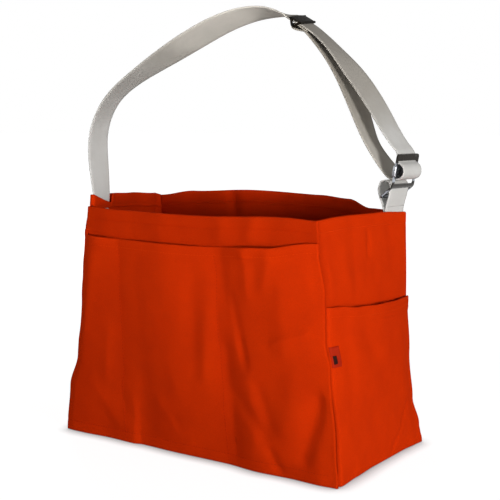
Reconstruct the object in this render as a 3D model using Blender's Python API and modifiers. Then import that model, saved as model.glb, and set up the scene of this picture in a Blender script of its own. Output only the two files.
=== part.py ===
"""Survey stake bag: sewn canvas bag with pockets, webbing strap, three-bar slide and grip-bar buckle.

Metres, +Z up. The origin is on the floor under the middle of the bag's bottom panel.
+X runs to the right along the front, +Y to the back.
"""

import math

import bmesh
import bpy
from mathutils import Matrix, Vector

# Bag body
bag_length = 0.432
bag_depth = 0.231
bag_height = 0.3145
canvas_thickness = 0.0018
hem_thickness = 0.0016
hem_depth = 0.019
hem_span_shares = {"front": (0.03, 0.97), "back": (0.03, 0.93), "left": (0.03, 0.965), "right": (0.03, 0.975)}
seam_gap = 0.0003
seam_lip = 0.003

# How far each rim corner stands in from the bottom corner below it
front_left_inset = (0.036, 0.006)
front_right_inset = (0.033, 0.006)
back_right_inset = (0.023, 0.0165)
back_left_inset = (0.004, 0.0365)

# Outward swell of each wall at mid height, and at the rim
front_swell = 0.006
back_swell = 0.010
left_swell = 0.010
right_swell = 0.004
front_rim_bow = 0.003
back_rim_bow = 0.002
left_rim_bow = 0.004
right_rim_bow = -0.002

# Share of the inset that a corner has taken up, by share of height
front_right_lean_shares = ((0, 0), (0.15, 0.1), (0.45, 0.34), (0.55, 0.55), (0.73, 0.6), (0.87, 0.87), (1, 1))
front_left_lean_shares = ((0, 0), (0.2, 0.12), (0.34, 0.42), (0.6, 0.6), (0.87, 0.85), (1, 1))
back_right_lean_shares = ((0, 0), (0.08, 0.22), (0.2, 0.55), (0.4, 0.78), (0.65, 0.9), (1, 1))
back_left_lean_shares = ((0, 0), (0.3, 0.3), (0.7, 0.75), (1, 1))

# Rim height as shares of the bag height, by share of the way along each wall
front_rim_shares = ((0, 1.003), (0.15, 0.996), (0.5, 0.993), (0.88, 1.007), (1, 1))
right_rim_shares = ((0, 1), (0.24, 1.006), (0.7, 1.002), (1, 0.993))
back_rim_shares = (
    (0, 1.018), (0.15, 1.043), (0.4, 1.057), (0.68, 1.047), (0.79, 1.036), (0.87, 1.0), (1, 0.991),
)
left_rim_shares = ((0, 1.054), (0.28, 1.05), (0.55, 1.043), (0.9, 1.03), (1, 1.018))

# Front pocket: one cloth, three compartments
pocket_thickness = 0.0016
pocket_stand_off = 0.0007
front_pocket_drop = 0.038
front_pocket_swell = 0.010
divider_low_shares = (0.255, 0.645)
divider_high_shares = (0.150, 0.593)
pocket_swell_shares = (0.75, 1.0, 0.85)
pocket_edge_shares = ((0, 1), (0.5, 0.99), (0.82, 0.96), (1, 0.68))

# Pocket on the right end
end_pocket_height = 0.207
end_pocket_swell = 0.009
end_pocket_slope = 0.010

# Bare label tab on the end pocket
tab_width = 0.023
tab_height = 0.026
tab_thickness = 0.0006
tab_base_height = 0.139

# Webbing
web_width = 0.044
web_thickness = 0.002
sewn_length = 0.060
strap_root_inset = 0.0265
chape_root_inset = 0.0245
root_clearance = 0.0005
bend_length = 0.030
hem_dip = 0.012

# The strap arch, by share of the span between its ends and of its height: run, rise, roll in degrees
arch_height = 0.2575
arch_left_shares = (
    (0.0, 0.115, -13), (-0.008, 0.22, -16), (-0.0116, 0.36, -15), (-0.0048, 0.41, -12), (0.0213, 0.52, -10),
    (0.0669, 0.61, -10), (0.13, 0.685, -15), (0.1988, 0.755, -23), (0.2715, 0.825, -30), (0.3491, 0.895, -32),
    (0.4296, 0.957, -28), (0.514, 0.996, -20), (0.5876, 0.9995, -10),
)
arch_right_shares = ((0.8388, 0.689, 26), (0.8883, 0.58, 27), (0.929, 0.472, 26), (0.9678, 0.362, 22))

# Circular stretch of the strap that the slide travels on, by share of the span and of the height
slide_arc_radius_share = 0.408
slide_arc_run_share = 0.6433
slide_arc_rise_share = 0.9728
slide_arc_heading = -25.0
slide_arc_sweep = 21.0
slide_arc_roll = 11.0
slide_place = 4.4
slide_skew = 6.0

# Three-bar slide
slide_width = 0.0545
slide_length = 0.0185
slide_bar_radius = 0.0017
slide_cover_metal = 0.0014
slide_cover_rise = 0.0012
tail_length = 0.020

# The return run from the slide down to the buckle, in the same shares
return_shares = (
    (0.768, 0.775, 16), (0.8127, 0.659, 18), (0.8475, 0.539, 18), (0.8776, 0.41, 15), (0.9018, 0.318, 10),
)

# Buckle, in the plane across its bars: outward and upward from the chape's root
frame_width = 0.0522
frame_metal = 0.002
rail_width = 0.0035
low_bar_place = (-0.003, 0.020)
frame_bend_place = (0.0135, 0.034)
frame_top_place = (0.0213, 0.0755)
return_dip_place = (-0.001, 0.0497)
top_bar_height = 0.0085
bend_bar_height = 0.006
low_bar_height = 0.004
frame_corner_radius = 0.004
window_corner_radius = 0.0015
bend_radius = 0.006
grip_height = 0.054
grip_plate_height = 0.0184
grip_plate_metal = 0.0018
curl_height = 0.014
curl_metal = 0.0014
grip_turn_radius = 0.0105
loop_half_width = 0.010
loop_height = 0.0425
loop_shares = (
    (0.13, 0.07), (0.3, 0.26), (0.6, 0.5), (0.8, 0.74), (0.7, 0.92), (0.1, 1.0),
    (-0.66, 0.95), (-1.0, 0.74), (-0.8, 0.5), (-0.4, 0.26), (-0.13, 0.07),
)

# Faces along walls and webbing
wall_columns = 16
wall_rows = 16
pocket_columns = 30
pocket_rows = 9
end_pocket_columns = 22
end_pocket_rows = 12
web_steps = 5
arc_steps = 10


for old in list(bpy.data.objects):
    bpy.data.objects.remove(old, do_unlink=True)

parts = bpy.data.collections.new("survey_stake_bag")
cutters = bpy.data.collections.new("cutters")
bpy.context.scene.collection.children.link(parts)
bpy.context.scene.collection.children.link(cutters)


def make_material(name, colour, roughness, metallic=0.0):
    """A Principled material."""
    material = bpy.data.materials.new(name)
    material.use_nodes = True
    shader = material.node_tree.nodes["Principled BSDF"]
    shader.inputs["Base Color"].default_value = (*colour, 1)
    shader.inputs["Roughness"].default_value = roughness
    shader.inputs["Metallic"].default_value = metallic
    return material


canvas_colour = (0.48, 0.030, 0.002)
webbing_colour = (0.56, 0.54, 0.50)
dark_metal_colour = (0.02, 0.02, 0.018)
bright_metal_colour = (0.55, 0.56, 0.58)


def read_table(table, place):
    """Value of a table of (place, value) shares, eased between its rows."""
    for (left, low), (right, high) in zip(table, table[1:]):
        if place <= right:
            share = max(0.0, (place - left) / (right - left))
            return low + (high - low) * share * share * (3 - 2 * share)
    return table[-1][1]


half_length = bag_length / 2
half_depth = bag_depth / 2
bottom_corners = {
    "front_left": Vector((-half_length, -half_depth)),
    "front_right": Vector((half_length, -half_depth)),
    "back_right": Vector((half_length, half_depth)),
    "back_left": Vector((-half_length, half_depth)),
}
rim_corners = {
    "front_left": bottom_corners["front_left"] + Vector(front_left_inset),
    "front_right": bottom_corners["front_right"] + Vector((-front_right_inset[0], front_right_inset[1])),
    "back_right": bottom_corners["back_right"] - Vector(back_right_inset),
    "back_left": bottom_corners["back_left"] + Vector((back_left_inset[0], -back_left_inset[1])),
}
lean_tables = {
    "front_left": front_left_lean_shares,
    "front_right": front_right_lean_shares,
    "back_right": back_right_lean_shares,
    "back_left": back_left_lean_shares,
}

# Each wall: first corner, second corner, side that faces out, swell, rim bow, rim heights
walls = {
    "front": ("front_left", "front_right", 1, front_swell, front_rim_bow, front_rim_shares),
    "right": ("front_right", "back_right", 1, right_swell, right_rim_bow, right_rim_shares),
    "back": ("back_left", "back_right", -1, back_swell, back_rim_bow, back_rim_shares),
    "left": ("front_left", "back_left", -1, left_swell, left_rim_bow, left_rim_shares),
}


def corner(name, height_share):
    """Plan position of a bag corner at a share of the height."""
    lean = read_table(lean_tables[name], height_share)
    return bottom_corners[name].lerp(rim_corners[name], lean)


def wall_line(wall, height_share):
    """Start, direction and length of a wall's straight line at a share of the height."""
    first, second = walls[wall][0], walls[wall][1]
    start = corner(first, height_share)
    run = corner(second, height_share) - start
    return start, run.normalized(), run.length


def wall_point(wall, along, height_share, inward=0.0):
    """Point on a wall's outer face, moved inward; along is a share of the wall's length."""
    start, direction, length = wall_line(wall, height_share)
    facing, swell, rim_bow, rim = walls[wall][2:]
    out = Vector((direction.y, -direction.x)) * facing
    middle = math.sin(math.pi * along)
    bow = middle * (swell * math.sin(math.pi * height_share) + rim_bow * height_share)
    spot = start + direction * length * along + out * (bow - inward)
    height = bag_height * height_share * read_table(rim, along)
    return Vector((spot.x, spot.y, height))


def wall_across(wall, along, height_share):
    """Level direction of a wall's face over the width of the webbing."""
    reach = web_width / 2 / wall_line(wall, height_share)[2]
    run = wall_point(wall, along + reach, height_share) - wall_point(wall, along - reach, height_share)
    return Vector((run.x, run.y, 0)).normalized()


def rim_height(wall, along):
    """Height of a wall's rim above the floor."""
    return bag_height * read_table(walls[wall][5], along)


def mesh_object(name, mesh, colour, roughness, metallic=0.0):
    """Put a mesh in the scene as a named part with its own material."""
    made = bpy.data.objects.new(name, mesh)
    parts.objects.link(made)
    mesh.materials.append(make_material(name, colour, roughness, metallic))
    mesh.shade_smooth()
    mesh.set_sharp_from_angle(angle=math.radians(35))
    return made


def grid_mesh(name, rows):
    """A lofted surface through rows of points."""
    mesh = bpy.data.meshes.new(name)
    shape = bmesh.new()
    grid = [[shape.verts.new(point) for point in row] for row in rows]
    for lower, upper in zip(grid, grid[1:]):
        for a, b, c, d in zip(lower, lower[1:], upper[1:], upper):
            shape.faces.new((a, b, c, d))
    shape.to_mesh(mesh)
    shape.free()
    return mesh


def cloth(name, rows, thickness, outward, colour=canvas_colour):
    """A sewn cloth: a lofted surface thickened towards one side; outward is a point on that side."""
    mesh = grid_mesh(name, rows)
    made = mesh_object(name, mesh, colour, 0.9)
    face = mesh.polygons[len(mesh.polygons) // 2]
    side = 1 if face.normal.dot(outward - face.center) > 0 else -1
    thick = made.modifiers.new("cloth", "SOLIDIFY")
    thick.thickness = thickness
    thick.offset = side
    thick.use_even_offset = False
    return made


def spread(start, end, count):
    """Evenly spaced numbers from start to end."""
    return [start + (end - start) * step / count for step in range(count + 1)]


bag_middle = Vector((0, 0, bag_height / 2))


def end_margin(wall, height_share):
    """Share of an end wall's length that its cloth stops short of the front and back walls."""
    length = wall_line(wall, height_share)[2]
    return (canvas_thickness + seam_gap * 2) / length


def lip_share(height_share):
    """Share of the front and back walls' length by which they stand proud of the end walls."""
    return seam_lip / wall_line("front", height_share)[2]


def wall_rows_of(wall, low, high, inward, rows, columns):
    """Rows of points over a wall between two height shares."""
    ends = wall in ("left", "right")
    out = []
    for share in spread(low, high, rows):
        if ends:
            margin = end_margin(wall, share)
            row = [wall_point(wall, u, share, inward) for u in spread(margin, 1 - margin, columns)]
        else:
            lip = lip_share(share)
            row = [wall_point(wall, u, share, inward) for u in spread(-lip, 1 + lip, columns)]
        out.append(row)
    return out


def build_walls():
    """The four wall panels, with the end walls set in between the front and the back."""
    for wall in walls:
        name = wall + ("_end_panel" if wall in ("left", "right") else "_panel")
        rows = wall_rows_of(wall, seam_gap * 1.5 / bag_height, 1, 0, wall_rows, wall_columns)
        cloth(name, rows, canvas_thickness, bag_middle)


def build_bottom():
    """The floor of the bag, inside the four walls."""
    reach = canvas_thickness + seam_gap * 2.8
    left = -half_length + reach
    right = half_length - reach
    front = -half_depth + reach
    back = half_depth - reach
    rows = [[Vector((x, y, 0)) for x in (left, right)] for y in (front, back)]
    cloth("bottom_panel", rows, canvas_thickness, bag_middle)


def build_hems():
    """The turned-in rims; the end hems stand off where the strap ends are sewn under them."""
    strap_room = web_thickness + root_clearance + seam_gap
    spans = {
        "front": (None, 0),
        "back": (None, 0),
        "left": (left_root_along, strap_room),
        "right": (right_root_along, strap_room + web_thickness + seam_gap),
    }
    for wall, (root, room) in spans.items():
        start, end = hem_span_shares[wall]
        length = wall_line(wall, 1)[2]
        rows = []
        for share in spread(-1, 0, 3):
            row = []
            for along in spread(start, end, wall_columns + 4):
                bump = 0
                dip = 0
                if root is not None:
                    away = abs(along - root) * length - web_width / 2 - web_thickness
                    bump = room * max(0, 1 - max(0, away) / (web_width / 3))
                    if wall == "left" and away < 0:
                        dip = hem_dip * min(1, max(0, (along - start) * length / web_width))
                rim = rim_height(wall, along)
                top = rim + hem_depth * share - dip * (1 + share)
                inward = canvas_thickness + seam_gap * 2 + bump
                row.append(wall_point(wall, along, top / rim, inward))
            rows.append(row)
        name = wall + ("_end_hem" if wall in ("left", "right") else "_hem")
        cloth(name, rows, hem_thickness, bag_middle)


def build_front_pocket():
    """One cloth over the front, standing off the wall between its seams."""
    top = 1 - front_pocket_drop / bag_height
    rows = []
    for step in spread(seam_gap / bag_height, 1, pocket_rows):
        row = []
        for along in spread(0, 1, pocket_columns):
            drop = front_pocket_drop * read_table(pocket_edge_shares, along)
            share = step * (1 - drop / bag_height)
            dividers = zip(divider_low_shares, divider_high_shares)
            seams = [0] + [low + (high - low) * share for low, high in dividers] + [1]
            bay = min(2, sum(along > seam for seam in seams[1:3]))
            inside = (along - seams[bay]) / (seams[bay + 1] - seams[bay])
            swell = front_pocket_swell * pocket_swell_shares[bay]
            lift = swell * math.sin(math.pi * inside) ** 0.8 * min(1, step / top) ** 0.55
            lip = lip_share(share)
            place = -lip + (1 + 2 * lip) * along
            row.append(wall_point("front", place, share, -(pocket_stand_off + lift)))
        rows.append(row)
    outside = Vector((0, -bag_depth * 2, bag_height / 2))
    cloth("front_pocket", rows, pocket_thickness, outside)


def end_pocket_point(along, height, stand_off):
    """Point on the inner face of the end pocket, moved outward."""
    top = end_pocket_height - end_pocket_slope * along
    rise = min(1, height / top)
    lift = end_pocket_swell * math.sin(math.pi * along) ** 0.8 * rise ** 0.55
    share = height / rim_height("right", along)
    return wall_point("right", along, share, -(pocket_stand_off + lift + stand_off))


def build_end_pocket():
    """Pocket cloth over the lower part of the right end."""
    rows = []
    for step in spread(seam_gap / bag_height, 1, end_pocket_rows):
        margin = end_margin("right", step * end_pocket_height / bag_height) * 1.3
        row = []
        for along in spread(margin, 1 - margin, end_pocket_columns):
            top = end_pocket_height - end_pocket_slope * along
            row.append(end_pocket_point(along, top * step, 0))
        rows.append(row)
    outside = Vector((bag_length * 2, 0, bag_height / 2))
    cloth("end_pocket", rows, pocket_thickness, outside)


def build_label_tab():
    """Small bare tab lying on the end pocket at its front seam."""
    stand_off = pocket_thickness + pocket_stand_off * 1.2
    length = wall_line("right", 0.5)[2]
    start = end_margin("right", 0.5)
    rows = []
    for height in spread(tab_base_height, tab_base_height + tab_height, 3):
        along = spread(start, start + tab_width / length, 4)
        rows.append([end_pocket_point(place, height, stand_off) for place in along])
    outside = Vector((bag_length * 2, 0, bag_height / 2))
    cloth("label_tab", rows, tab_thickness, outside, (0.30, 0.012, 0.006))


def smooth_path(stations, steps):
    """Catmull-Rom curve through stations, each a tuple of vectors."""
    out = []
    padded = [stations[0]] + list(stations) + [stations[-1]]
    for a, b, c, d in zip(padded, padded[1:], padded[2:], padded[3:]):
        for step in range(steps):
            t = step / steps
            out.append(tuple(
                q + ((r - p) * t + (2 * p - 5 * q + 4 * r - s) * t * t + (3 * q - p - 3 * r + s) * t ** 3) / 2
                for p, q, r, s in zip(a, b, c, d)
            ))
    out.append(stations[-1])
    return out


def webbing(name, stations, colour=webbing_colour):
    """A flat band through (centre, width direction) stations, thickened both ways."""
    rows = []
    for centre, across in stations:
        reach = across.normalized() * web_width / 2
        rows.append([centre - reach, centre, centre + reach])
    mesh = grid_mesh(name, rows)
    made = mesh_object(name, mesh, colour, 0.85)
    thick = made.modifiers.new("webbing", "SOLIDIFY")
    thick.thickness = web_thickness
    thick.offset = 0
    return made


def trim_path(stations, start, end):
    """Shorten a dense path by a length at each end."""
    lengths = [0]
    for (a, _), (b, _) in zip(stations, stations[1:]):
        lengths.append(lengths[-1] + (b - a).length)
    total = lengths[-1]

    def at(place):
        for index in range(len(lengths) - 1):
            if place <= lengths[index + 1]:
                share = (place - lengths[index]) / (lengths[index + 1] - lengths[index])
                return tuple(p.lerp(q, share) for p, q in zip(stations[index], stations[index + 1]))
        return stations[-1]

    low = start + web_thickness / 4
    high = total - end - web_thickness / 4
    kept = [station for station, length in zip(stations, lengths) if low < length < high]
    return [at(start)] + kept + [at(total - end)]


# Where the strap is sewn to the rims
left_root_along = strap_root_inset / wall_line("left", 1)[2]
right_root_along = 1 - chape_root_inset / wall_line("right", 1)[2]
left_stand_in = canvas_thickness + seam_gap + root_clearance + web_thickness / 2
left_root = wall_point("left", left_root_along, 1, left_stand_in)
left_across = wall_across("left", left_root_along, 1)
right_layer_in = canvas_thickness + seam_gap + root_clearance + web_thickness / 2
right_stand_in = right_layer_in + (web_thickness + seam_gap) / 2
right_root = wall_point("right", right_root_along, 1, right_stand_in)
right_across = wall_across("right", right_root_along, 1)
right_out = Vector((right_across.y, -right_across.x, 0))


def buckle_spot(out, up):
    """Point in the plane across the buckle's bars, from the chape's root."""
    return right_root + right_out * out + Vector((0, 0, up))


low_bar = Vector(low_bar_place)
frame_bend = Vector(frame_bend_place)
frame_top = Vector(frame_top_place)
grip_share = (grip_height - frame_bend.y) / (frame_top.y - frame_bend.y)
grip_spot = frame_bend.lerp(frame_top, grip_share)
rail_up = (frame_top - frame_bend).normalized()
rail_out = Vector((rail_up.y, -rail_up.x))

# The upright plane that the strap arch lies in
arch_base = Vector((left_root.x, left_root.y, bag_height))
arch_end = buckle_spot(grip_spot.x, 0)
arch_along = Vector((arch_end.x - arch_base.x, arch_end.y - arch_base.y, 0)).normalized()
arch_side = Vector((-arch_along.y, arch_along.x, 0))
strap_run = (arch_end - arch_base).length
slide_arc_radius = strap_run * slide_arc_radius_share


def arch_point(run, rise):
    """Point in the arch's plane."""
    return arch_base + arch_along * run + Vector((0, 0, rise))


def rolled(ahead, roll):
    """Width direction of the webbing for a direction of travel and a roll in degrees."""
    turn = math.radians(roll)
    return arch_side * math.cos(turn) + ahead.cross(arch_side) * math.sin(turn)


def arch_stations(rows):
    """Stations from (run, rise, roll) rows."""
    points = [arch_point(run, rise) for run, rise, _ in rows]
    out = []
    for index, (_, _, roll) in enumerate(rows):
        ahead = (points[min(index + 1, len(rows) - 1)] - points[max(index - 1, 0)]).normalized()
        out.append((points[index], rolled(ahead, roll)))
    return out


# Centre of the circular stretch, in the arch's plane
heading_start = math.radians(slide_arc_heading)
arc_centre = arch_point(
    strap_run * slide_arc_run_share + slide_arc_radius * math.sin(heading_start),
    arch_height * slide_arc_rise_share - slide_arc_radius * math.cos(heading_start),
)


def arc_station(degrees, offset=0.0):
    """Station on the circular stretch, degrees along it, moved out from the bag by offset."""
    heading = math.radians(slide_arc_heading - degrees)
    radial = arch_along * -math.sin(heading) + Vector((0, 0, math.cos(heading)))
    ahead = arch_along * math.cos(heading) + Vector((0, 0, math.sin(heading)))
    across = rolled(ahead, slide_arc_roll)
    out = across.cross(ahead) * -1
    if out.z < 0:
        out = -out
    return arc_centre + radial * slide_arc_radius + out * offset, across, ahead, out


def slide_station(along, aside, lift):
    """Station by place along and across the slide, which sits a little askew, and lift from the webbing."""
    skew = math.radians(slide_skew)
    run = along * math.cos(skew) + aside * math.sin(skew)
    side = aside * math.cos(skew) - along * math.sin(skew)
    centre, across, ahead, _ = arc_station(slide_place + math.degrees(run / slide_arc_radius), lift)
    return centre + across * side, across * math.cos(skew) + ahead * math.sin(skew)


def turn_station(degrees):
    """Station where the webbing turns round the grip bar; degrees from outward, towards up."""
    angle = math.radians(degrees)
    out = grip_spot.x + grip_turn_radius * math.cos(angle)
    up = grip_spot.y + grip_turn_radius * math.sin(angle)
    return buckle_spot(out, up), right_across.copy()


def shoulder_path():
    """Stations of the long webbing from above the left root to behind the grip bar."""
    left = [(run * strap_run, rise * arch_height, roll) for run, rise, roll in arch_left_shares]
    left[0] = (0, left_root.z - bag_height, left[0][2])
    right = [(run * strap_run, rise * arch_height, roll) for run, rise, roll in arch_right_shares]
    arc = [arc_station(degrees)[:2] for degrees in spread(0, slide_arc_sweep, arc_steps)]
    behind_top = web_thickness / 2 + frame_metal / 2 + seam_gap * 2
    top_edge = frame_top - rail_up * top_bar_height
    ease = [
        (frame_top - rail_out * (behind_top * 2.4) + rail_up * web_thickness * 1.5),
        (frame_top - rail_up * top_bar_height / 2 - rail_out * behind_top * 1.05),
        (top_edge - rail_up * web_thickness * 0.6 - rail_out * behind_top * 0.62),
    ]
    down = [(buckle_spot(spot.x, spot.y), right_across.copy()) for spot in ease]
    turn = [turn_station(degrees) for degrees in spread(62, -98, 8)]
    rise = arch_stations(left)
    rise[0] = (rise[0][0], left_across.copy())
    return rise + arc + arch_stations(right) + down + turn


def return_path():
    """Stations of the run back up from the grip bar to the tail fold."""
    upper = slide_station(tail_length * 1.07, 0, -(web_thickness * 2 + seam_gap * 2))
    rows = [(run * strap_run, rise * arch_height, roll) for run, rise, roll in return_shares]
    low = turn_station(-98)[0] - buckle_spot(0, 0)
    ease = [
        (buckle_spot(*return_dip_place), right_across.copy()),
        (buckle_spot(low.dot(right_out) * 0.5, low.z + web_thickness * 0.45), right_across.copy()),
    ]
    return [upper] + arch_stations(rows) + ease + [turn_station(-98)]


def build_strap():
    """Sewn end, bend, long webbing and return run."""
    down = []
    for height in spread(left_root.z - sewn_length, left_root.z - seam_gap / 2, 4):
        share = height / rim_height("left", left_root_along)
        centre = wall_point("left", left_root_along, share, left_stand_in)
        down.append((centre, wall_across("left", left_root_along, share)))
    webbing("strap_sewn_end", down)
    path = smooth_path(shoulder_path(), web_steps)
    total = sum((b[0] - a[0]).length for a, b in zip(path, path[1:]))
    webbing("strap_bend", trim_path(path, seam_gap, total - bend_length))
    webbing("shoulder_strap", trim_path(path, bend_length + seam_gap, 0))
    back = smooth_path(return_path(), web_steps)
    webbing("return_strap", trim_path(back, seam_gap, seam_gap))


def build_tail_fold():
    """The end of the webbing, round the slide's centre bar and back on itself."""
    bar_drop = slide_bar_drop()
    turn = slide_bar_radius + seam_gap + web_thickness / 2
    upper_drop = web_thickness + seam_gap
    lower_drop = upper_drop + web_thickness + seam_gap
    stations = [slide_station(tail_length * share, 0, -upper_drop) for share in (1.0, 0.6, 0.25)]
    for angle in spread(90, 270, 6):
        swing = math.radians(angle)
        stations.append(slide_station(turn * math.cos(swing), 0, turn * math.sin(swing) - bar_drop))
    for share, drop in ((0.3, bar_drop + turn * 0.75), (0.65, lower_drop * 1.15), (1.0, lower_drop)):
        stations.append(slide_station(tail_length * share, 0, -drop))
    webbing("tail_fold", smooth_path(stations, 2))


def slide_bar_drop():
    """How far the slide's centre bar lies under the long webbing's middle."""
    return web_thickness + seam_gap * 2 + web_thickness / 2 + slide_bar_radius + seam_gap * 0.5


def build_slide():
    """Three-bar slide: cover and end bars over the webbing, centre bar in the tail fold under it."""
    over = web_thickness / 2 + seam_gap + slide_bar_radius
    reach = slide_length / 2 - slide_bar_radius
    half = slide_width / 2 - slide_bar_radius
    spots = []
    for side in (-1, 1):
        rail = []
        for share in spread(-1, 1, 8):
            lift = over - (over + slide_bar_drop()) * math.cos(share * math.pi / 2) ** 1.5
            rail.append(slide_station(share * reach, half * side, lift)[0])
        spots.append(rail if side > 0 else rail[::-1])
    ring = tube("slide_ring", spots[0] + spots[1], slide_bar_radius, True)
    centre_line = [slide_station(0, half * side, -slide_bar_drop())[0] for side in (-1, 0, 1)]
    bar = tube("slide_bar", centre_line, slide_bar_radius, False)
    join(ring, bar)
    join(ring, slide_cover(over, reach, half))
    finish_solid(ring, "slide_frame", dark_metal_colour, 0.35, 0.9)


def slide_cover(over, reach, half):
    """Thin arched plate between the slide's end bars."""
    shape = bmesh.new()
    layers = []
    for side in (-1, 1):
        rows = []
        for along in spread(-reach, reach, 4):
            row = []
            for share in spread(-1, 1, 8):
                rise = slide_cover_rise * (1 - share * share) + slide_cover_metal * side / 2
                row.append(shape.verts.new(slide_station(along, half * share, over + rise)[0]))
            rows.append(row)
        layers.append(rows)
    under, upper = layers
    for row, (lower, higher) in enumerate(zip(under, upper)):
        if row:
            for a, b, c, d in zip(under[row - 1], under[row - 1][1:], lower[1:], lower):
                shape.faces.new((a, b, c, d))
            for a, b, c, d in zip(upper[row - 1], upper[row - 1][1:], higher[1:], higher):
                shape.faces.new((d, c, b, a))
            for side in (0, -1):
                shape.faces.new((under[row - 1][side], lower[side], higher[side], upper[row - 1][side]))
        if row in (0, len(under) - 1):
            for a, b, c, d in zip(lower, lower[1:], higher[1:], higher):
                shape.faces.new((a, b, c, d))
    bmesh.ops.recalc_face_normals(shape, faces=shape.faces)
    mesh = bpy.data.meshes.new("slide_cover")
    shape.to_mesh(mesh)
    shape.free()
    made = bpy.data.objects.new("slide_cover", mesh)
    cutters.objects.link(made)
    mark_cutter(made)
    return made


def tube(name, points, radius, closed):
    """A round wire through points, as a welded mesh object."""
    curve = bpy.data.curves.new(name, "CURVE")
    curve.dimensions = "3D"
    curve.bevel_depth = radius
    curve.bevel_resolution = 2
    curve.use_fill_caps = True
    spline = curve.splines.new("POLY")
    spline.points.add(len(points) - 1)
    for slot, point in zip(spline.points, points):
        slot.co = (*point, 1)
    spline.use_cyclic_u = closed
    return curve_to_mesh(name, curve)


def curve_to_mesh(name, curve):
    """Turn a curve into a welded mesh object outside the parts collection."""
    guide = bpy.data.objects.new(name + "_curve", curve)
    cutters.objects.link(guide)
    bpy.context.view_layer.update()
    depsgraph = bpy.context.evaluated_depsgraph_get()
    mesh = bpy.data.meshes.new_from_object(guide.evaluated_get(depsgraph))
    place = guide.matrix_world.copy()
    bpy.data.objects.remove(guide, do_unlink=True)
    shape = bmesh.new()
    shape.from_mesh(mesh)
    bmesh.ops.remove_doubles(shape, verts=shape.verts, dist=seam_gap / 30)
    shape.normal_update()
    bmesh.ops.recalc_face_normals(shape, faces=shape.faces)
    shape.to_mesh(mesh)
    shape.free()
    made = bpy.data.objects.new(name, mesh)
    made.matrix_world = place
    cutters.objects.link(made)
    mark_cutter(made)
    return made


def mark_cutter(made):
    """Guides and cutters are not parts."""
    made.hide_render = True
    made.display_type = "WIRE"


def boolean(target, tool, operation):
    """Add an exact Boolean."""
    step = target.modifiers.new(operation.lower(), "BOOLEAN")
    step.operation = operation
    step.solver = "EXACT"
    step.object = tool


def join(target, tool):
    """Join a piece to another."""
    boolean(target, tool, "UNION")


def finish_solid(made, name, colour, roughness, metallic):
    """Move a built solid into the parts collection under its own name."""
    bpy.context.view_layer.update()
    depsgraph = bpy.context.evaluated_depsgraph_get()
    mesh = bpy.data.meshes.new_from_object(made.evaluated_get(depsgraph))
    cutters.objects.unlink(made)
    mesh.materials.clear()
    bpy.data.objects.remove(made, do_unlink=True)
    return mesh_object(name, mesh, colour, roughness, metallic)


def rounded_outline(curve, low, high, radius, steps):
    """Add a closed rounded rectangle to a flat curve."""
    points = []
    for turn, (x, y) in enumerate(((high.x, high.y), (low.x, high.y), (low.x, low.y), (high.x, low.y))):
        sign_x = 1 if turn in (0, 3) else -1
        sign_y = 1 if turn in (0, 1) else -1
        middle = Vector((x - sign_x * radius, y - sign_y * radius))
        for step in range(steps + 1):
            angle = math.radians(90 * turn + 90 * step / steps)
            points.append(middle + Vector((math.cos(angle), math.sin(angle))) * radius)
    spline = curve.splines.new("POLY")
    spline.points.add(len(points) - 1)
    for slot, point in zip(spline.points, points):
        slot.co = (point.x, point.y, 0, 1)
    spline.use_cyclic_u = True


def frame_place(across, along, off):
    """Place in space of a spot on the flat buckle frame; along runs up from its low edge."""
    low_run = (frame_bend - low_bar).length + low_bar_height / 2
    low_up = (frame_bend - low_bar).normalized()
    turn = rail_up.angle_signed(low_up)
    arc_half = bend_radius * math.tan(abs(turn) / 2)
    arc_length = bend_radius * abs(turn)
    start = low_run - arc_half
    if along <= start:
        spot = frame_bend + low_up * (along - low_run)
        facing = low_up
    elif along >= start + arc_length:
        spot = frame_bend + rail_up * (along - start - arc_length + arc_half)
        facing = rail_up
    else:
        share = (along - start) / arc_length
        centre = frame_bend - low_up * arc_half + Vector((-low_up.y, low_up.x)) * bend_radius
        angle = share * abs(turn)
        facing = Matrix.Rotation(angle, 2) @ low_up
        spot = centre + Vector((facing.y, -facing.x)) * bend_radius
    out = Vector((facing.y, -facing.x))
    spot = spot + out * off
    return buckle_spot(spot.x, spot.y) + right_across * across


def build_buckle_frame():
    """Stamped plate with two windows, bent in towards the bag below its second bar."""
    low_run = (frame_bend - low_bar).length + low_bar_height / 2
    total = low_run + (frame_top - frame_bend).length
    half = frame_width / 2
    plate = bpy.data.curves.new("frame_plate", "CURVE")
    plate.dimensions = "2D"
    plate.fill_mode = "BOTH"
    plate.extrude = frame_metal / 2
    rounded_outline(plate, Vector((-half, 0)), Vector((half, total)), frame_corner_radius, 4)
    inner = half - rail_width
    bend_low = low_run - bend_bar_height / 2
    bend_high = low_run + bend_bar_height / 2
    for low, high in ((low_bar_height, bend_low), (bend_high, total - top_bar_height)):
        rounded_outline(plate, Vector((-inner, low)), Vector((inner, high)), window_corner_radius, 3)
    made = curve_to_mesh("frame_plate", plate)
    shape = bmesh.new()
    shape.from_mesh(made.data)
    for cut in spread(low_run - bend_radius * 0.45, low_run + bend_radius * 0.45, 6):
        everything = shape.verts[:] + shape.edges[:] + shape.faces[:]
        bmesh.ops.bisect_plane(shape, geom=everything, plane_co=(0, cut, 0), plane_no=(0, 1, 0))
    for vert in shape.verts:
        vert.co = frame_place(vert.co.x, vert.co.y, vert.co.z)
    shape.normal_update()
    bmesh.ops.recalc_face_normals(shape, faces=shape.faces)
    shape.to_mesh(made.data)
    shape.free()
    finish_solid(made, "buckle_frame", bright_metal_colour, 0.3, 1.0)


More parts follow.
